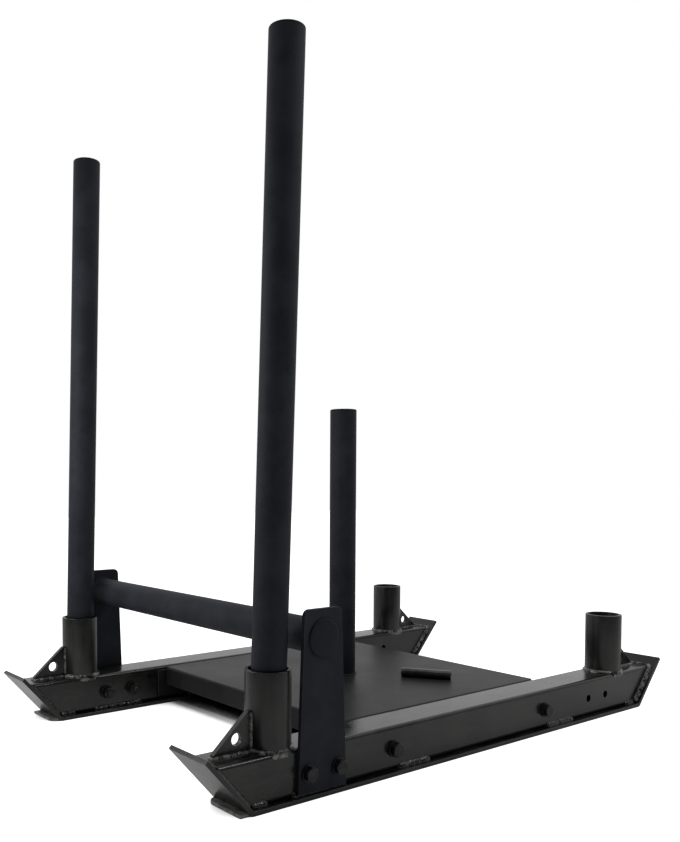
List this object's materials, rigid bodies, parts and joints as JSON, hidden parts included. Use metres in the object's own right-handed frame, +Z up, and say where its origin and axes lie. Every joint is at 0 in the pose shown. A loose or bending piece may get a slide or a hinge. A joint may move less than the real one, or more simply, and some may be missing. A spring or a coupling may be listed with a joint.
{
  "type": "weight sled",
  "caption": "Push and drag weight sled: skids with upturned tips, sockets and tow plates, a folded deck with a weight post, a low push bar and lift-out uprights.",
  "frame": {"origin": "on the floor, midway between the skids and midway between the front and rear tips", "axes": "+X forward, away from the uprights; +Y to the sled's left; +Z up"},
  "size_m": [1.0726, 0.651, 1.0092],
  "materials": {
    "gloss_enamel": "semi-gloss black enamel",
    "matte_powder_coat": "matte black powder coat",
    "deck_coat": "satin black coat",
    "black_steel": "black oxide",
    "plug_plastic": "moulded black plastic"
  },
  "bodies": {
    "sled": {"left_skid_tube": "gloss_enamel", "left_runner": "gloss_enamel", "left_front_socket": "gloss_enamel", "left_rear_socket": "gloss_enamel", "left_front_tow_plate": "gloss_enamel", "left_rear_tow_plate": "gloss_enamel", "left_push_bar_bracket": "matte_powder_coat", "left_bar_cap": "plug_plastic", "right_skid_tube": "gloss_enamel", "right_runner": "gloss_enamel", "right_front_socket": "gloss_enamel", "right_rear_socket": "gloss_enamel", "right_front_tow_plate": "gloss_enamel", "right_rear_tow_plate": "gloss_enamel", "right_push_bar_bracket": "matte_powder_coat", "right_bar_cap": "plug_plastic", "push_bar": "matte_powder_coat", "weight_post": "matte_powder_coat", "weight_post_cap": "plug_plastic", "deck_tray": "deck_coat", "left_deck_front_bolt": "black_steel", "left_deck_front_head_washer": "black_steel", "left_deck_front_nut_washer": "black_steel", "left_deck_front_nut": "black_steel", "left_deck_rear_bolt": "black_steel", "left_deck_rear_head_washer": "black_steel", "left_deck_rear_nut_washer": "black_steel", "left_deck_rear_nut": "black_steel", "left_bracket_front_bolt": "black_steel", "left_bracket_front_head_washer": "black_steel", "left_bracket_front_nut_washer": "black_steel", "left_bracket_front_nut": "black_steel", "left_bracket_rear_bolt": "black_steel", "left_bracket_rear_head_washer": "black_steel", "left_bracket_rear_nut_washer": "black_steel", "left_bracket_rear_nut": "black_steel", "right_deck_front_bolt": "black_steel", "right_deck_front_head_washer": "black_steel", "right_deck_front_nut_washer": "black_steel", "right_deck_front_nut": "black_steel", "right_deck_rear_bolt": "black_steel", "right_deck_rear_head_washer": "black_steel", "right_deck_rear_nut_washer": "black_steel", "right_deck_rear_nut": "black_steel", "right_bracket_front_bolt": "black_steel", "right_bracket_front_head_washer": "black_steel", "right_bracket_front_nut_washer": "black_steel", "right_bracket_front_nut": "black_steel", "right_bracket_rear_bolt": "black_steel", "right_bracket_rear_head_washer": "black_steel", "right_bracket_rear_nut_washer": "black_steel", "right_bracket_rear_nut": "black_steel"},
    "left_upright": {"left_upright": "matte_powder_coat", "left_upright_cap": "plug_plastic"},
    "right_upright": {"right_upright": "matte_powder_coat", "right_upright_cap": "plug_plastic"},
    "tow_pin": {"tow_pin": "black_steel"}
  },
  "joints": [
    {"name": "left_upright_lift", "type": "slide", "parent": "sled", "child": "left_upright", "axis": [0.0256, 0.0045, 0.9997], "range_m": [0, 0.126]},
    {"name": "right_upright_lift", "type": "slide", "parent": "sled", "child": "right_upright", "axis": [0.0117, -0.0273, 0.9996], "range_m": [0, 0.126]},
    {"name": "tow_pin_lift", "type": "slide", "parent": "sled", "child": "tow_pin", "axis": [0, 0, 1], "range_m": [0, 0.05]}
  ]
}
